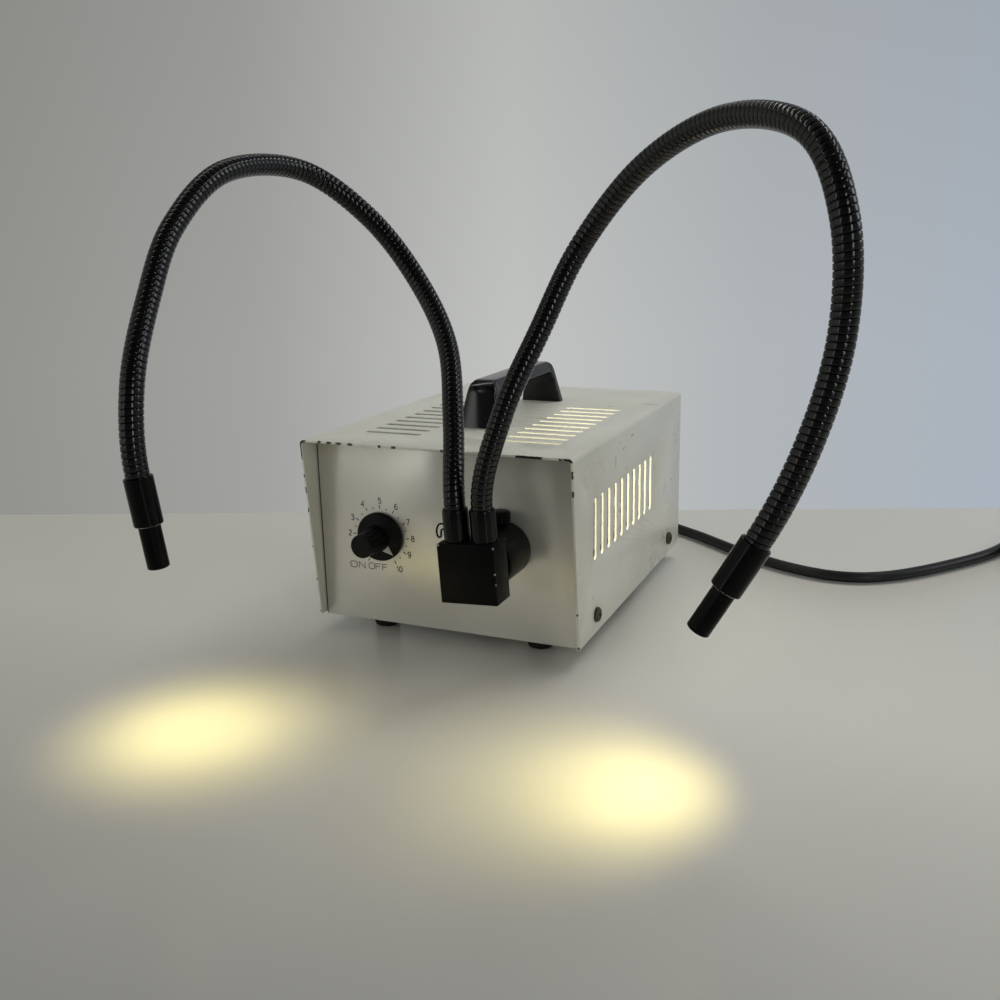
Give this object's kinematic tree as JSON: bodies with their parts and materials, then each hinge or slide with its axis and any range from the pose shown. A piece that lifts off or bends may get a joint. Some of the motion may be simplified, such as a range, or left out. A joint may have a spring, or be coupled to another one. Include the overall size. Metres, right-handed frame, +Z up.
{
  "type": "fiber optic illuminator",
  "caption": "Bench lamp box with a brightness dial, carrying handle and vent slots, feeding a two-armed gooseneck fibre optic light guide clamped in its front port.",
  "frame": {"origin": "on the bench, midway between the four rubber feet", "axes": "+X to the right seen from the front, -Y out of the front panel along the light port, +Z up"},
  "size_m": [0.5611, 0.5045, 0.2748],
  "materials": {
    "case_paint": "aged cream paint, satin",
    "panel_satin": "satin",
    "plated_steel": "zinc plated",
    "screw_steel": "oxidised",
    "foot_rubber": "matte",
    "handle_black": "gloss",
    "port_black": "black anodised, satin",
    "ferrule_metal": "machined",
    "nut_metal": "nickel plated",
    "pot_metal": "satin",
    "knob_black": "matte",
    "board_green": "lacquered board",
    "laminations": "varnished",
    "winding_copper": "taped winding",
    "reflector_glass": "mirror coated",
    "bulb_glass": "clear",
    "socket_ceramic": "matte",
    "filter_glass": "clear",
    "fan_black": "matte",
    "guard_chrome": "bright wire",
    "fuse_black": "matte",
    "terminal_white": "matte",
    "gland_black": "matte",
    "lead_black": "PVC, satin",
    "plug_black": "moulded",
    "pin_brass": "nickel plated",
    "block_black": "black paint, satin",
    "hose_black": "gloss black ribbed sheath",
    "fibre_glass": "polished bundle",
    "sleeve_black": "gloss",
    "tip_black": "black anodised"
  },
  "bodies": {
    "case": {"cover": "case_paint", "chassis": "plated_steel", "front_panel": "panel_satin", "rear_panel": "case_paint", "m4_screws": "screw_steel", "feet": "foot_rubber", "handle": "handle_black", "port_hub": "port_black", "panel_nuts": "nut_metal", "pot_body": "pot_metal", "dimmer_board": "board_green", "transformer_core": "laminations", "transformer_winding": "winding_copper", "transformer_bracket": "plated_steel", "heat_shield": "plated_steel", "lamp_reflector": "reflector_glass", "lamp_bulb": "bulb_glass", "lamp_socket": "socket_ceramic", "lamp_bracket": "plated_steel", "filter_holder": "plated_steel", "heat_filter": "filter_glass", "fan_frame": "fan_black", "fan_guard": "guard_chrome", "fuse_holder": "fuse_black", "terminal_block": "terminal_white", "strain_relief": "gland_black", "mains_lead_run": "lead_black", "mains_lead_coil": "lead_black", "mains_lead_tail": "lead_black", "plug_body": "plug_black", "plug_pins": "pin_brass"},
    "dial": {"knob": "knob_black", "pot_shaft": "ferrule_metal"},
    "clamp": {"clamp_screw": "port_black"},
    "fan": {"fan_rotor": "fan_black"},
    "fuse": {"fuse_cap": "fuse_black"},
    "ferrule": {"guide_ferrule": "ferrule_metal", "fibre_trunk": "fibre_glass"},
    "block": {"guide_block": "block_black", "arm_collars": "block_black", "wire_clip": "block_black", "fibre_split": "fibre_glass", "hose_l1": "hose_black", "hose_r1": "hose_black"},
    "left_riser": {"hose_l2": "hose_black", "fibres_l2": "fibre_glass"},
    "left_drop": {"hose_l3": "hose_black", "fibres_l3": "fibre_glass"},
    "left_end": {"hose_l4": "hose_black", "fibres_l4": "fibre_glass", "end_sleeve_l": "sleeve_black", "tip_l": "tip_black"},
    "right_riser": {"hose_r2": "hose_black", "fibres_r2": "fibre_glass"},
    "right_drop": {"hose_r3": "hose_black", "fibres_r3": "fibre_glass"},
    "right_end": {"hose_r4": "hose_black", "fibres_r4": "fibre_glass", "end_sleeve_r": "sleeve_black", "tip_r": "tip_black"}
  },
  "joints": [
    {"name": "dial_turn", "type": "hinge", "parent": "case", "child": "dial", "pos_m": [-0.0396, -0.0948, 0.06], "axis": [0, 1, 0], "range_deg": [-305, 10]},
    {"name": "clamp_turn", "type": "hinge", "parent": "case", "child": "clamp", "pos_m": [0.0364, -0.101, 0.0762], "axis": [0, 0, 1], "range_deg": [0, 360]},
    {"name": "guide_slide", "type": "slide", "parent": "case", "child": "ferrule", "axis": [0, -1, 0], "range_m": [0, 0.025]},
    {"name": "guide_turn", "type": "hinge", "parent": "ferrule", "child": "block", "pos_m": [0.0364, -0.127, 0.0612], "axis": [0, 1, 0], "range_deg": [-15, 15]},
    {"name": "left_base_bend", "type": "hinge", "parent": "block", "child": "left_riser", "pos_m": [0.0175, -0.114, 0.132], "axis": [1, 0, 0], "range_deg": [-15, 15]},
    {"name": "left_crown_bend", "type": "hinge", "parent": "left_riser", "child": "left_drop", "pos_m": [-0.075, -0.0965, 0.258], "axis": [-0.759, 0.3007, -0.5775], "range_deg": [-15, 15]},
    {"name": "left_end_bend", "type": "hinge", "parent": "left_drop", "child": "left_end", "pos_m": [-0.088, -0.2075, 0.2], "axis": [-1, 0, 0], "range_deg": [-20, 20]},
    {"name": "right_base_bend", "type": "hinge", "parent": "block", "child": "right_riser", "pos_m": [0.051, -0.129, 0.139], "axis": [1, 0, 0], "range_deg": [-15, 15]},
    {"name": "right_crown_bend", "type": "hinge", "parent": "right_riser", "child": "right_drop", "pos_m": [0.1535, -0.1315, 0.269], "axis": [-0.5463, -0.7922, 0.2718], "range_deg": [-15, 15]},
    {"name": "right_end_bend", "type": "hinge", "parent": "right_drop", "child": "right_end", "pos_m": [0.2115, -0.1845, 0.188], "axis": [0, 1, 0], "range_deg": [-20, 20]},
    {"name": "fan_spin", "type": "hinge", "parent": "case", "child": "fan", "pos_m": [0.034, 0.095, 0.064], "axis": [0, 1, 0], "continuous": true},
    {"name": "fuse_cap_turn", "type": "hinge", "parent": "case", "child": "fuse", "pos_m": [-0.055, 0.11, 0.045], "axis": [0, -1, 0], "range_deg": [0, 90]}
  ]
}
